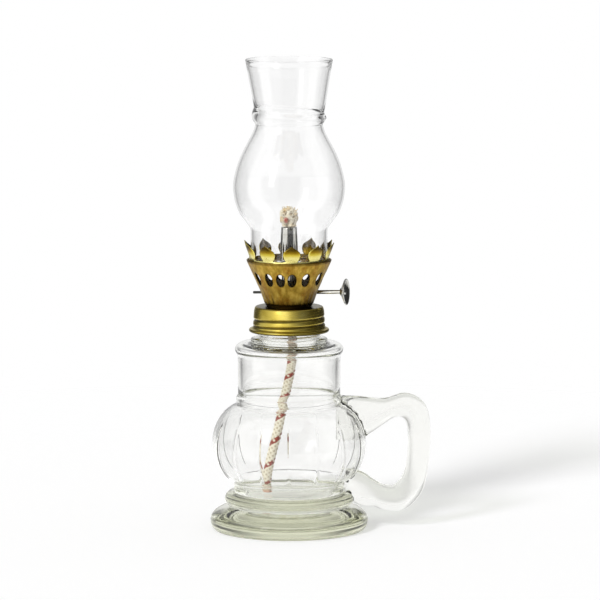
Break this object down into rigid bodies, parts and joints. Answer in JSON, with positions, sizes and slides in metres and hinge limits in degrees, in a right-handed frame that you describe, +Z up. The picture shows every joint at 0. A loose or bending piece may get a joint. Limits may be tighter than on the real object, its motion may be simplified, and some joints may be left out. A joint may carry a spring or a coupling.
{
  "type": "hurricane lamp",
  "caption": "Small wick oil lamp with a fluted glass font, a glass handle, a screw-on pierced brass burner with a petal crown, and a bulged glass chimney.",
  "frame": {"origin": "centre of the foot's flat underside, on the lamp's upright axis", "axes": "+Z up along the lamp's axis, +X toward the handle, -Y is the front"},
  "size_m": [0.1032, 0.074, 0.2204],
  "materials": {
    "font_glass": "clear pressed glass with a faint green tint where it is thick",
    "chimney_glass": "clear thin blown glass",
    "seal_rubber": "brown rubbered cork ring",
    "collar_brass": "rolled satin brass",
    "aged_brass": "tarnished mottled brass",
    "crown_brass": "bright stamped brass",
    "plated_steel": "plated steel, polished",
    "wick_cotton": "braided cream cotton with one red-brown tracer thread"
  },
  "bodies": {
    "font": {"font": "font_glass", "handle": "font_glass"},
    "seal": {"collar_seal": "seal_rubber"},
    "burner": {"screw_collar": "collar_brass", "neck_ferrule": "aged_brass", "burner_cone": "aged_brass", "air_plate": "aged_brass", "petal_crown": "crown_brass", "wick_tube": "plated_steel", "wheel_box": "plated_steel"},
    "winder": {"winder_shaft": "plated_steel", "spur_wheel": "plated_steel", "winder_knob": "plated_steel"},
    "wick": {"wick": "wick_cotton", "wick_tail": "wick_cotton"},
    "chimney": {"chimney": "chimney_glass"}
  },
  "joints": [
    {"name": "burner_lift", "type": "slide", "parent": "font", "child": "seal", "axis": [0, 0, 1], "range_m": [0, 0.00465]},
    {"name": "burner_unscrew", "type": "hinge", "parent": "seal", "child": "burner", "pos_m": [0, 0, 0.1], "axis": [0, 0, 1], "range_deg": [0, 540]},
    {"name": "chimney_lift", "type": "slide", "parent": "burner", "child": "chimney", "axis": [0, 0, 1], "range_m": [0, 0.06]},
    {"name": "winder_turn", "type": "hinge", "parent": "burner", "child": "winder", "pos_m": [0.00142, 0.00568, 0.11079], "axis": [0.9697, -0.2418, 0.0349], "range_deg": [0, 172]},
    {"name": "wick_feed", "type": "slide", "parent": "burner", "child": "wick", "axis": [0, 0, 1], "range_m": [0, 0.0102], "deforming": ["wick_tail"]}
  ],
  "couplings": [
    {"joint": "burner_unscrew", "follows": "burner_lift", "rad_per_m": 2026.8},
    {"joint": "winder_turn", "follows": "wick_feed", "rad_per_m": 294.12}
  ]
}
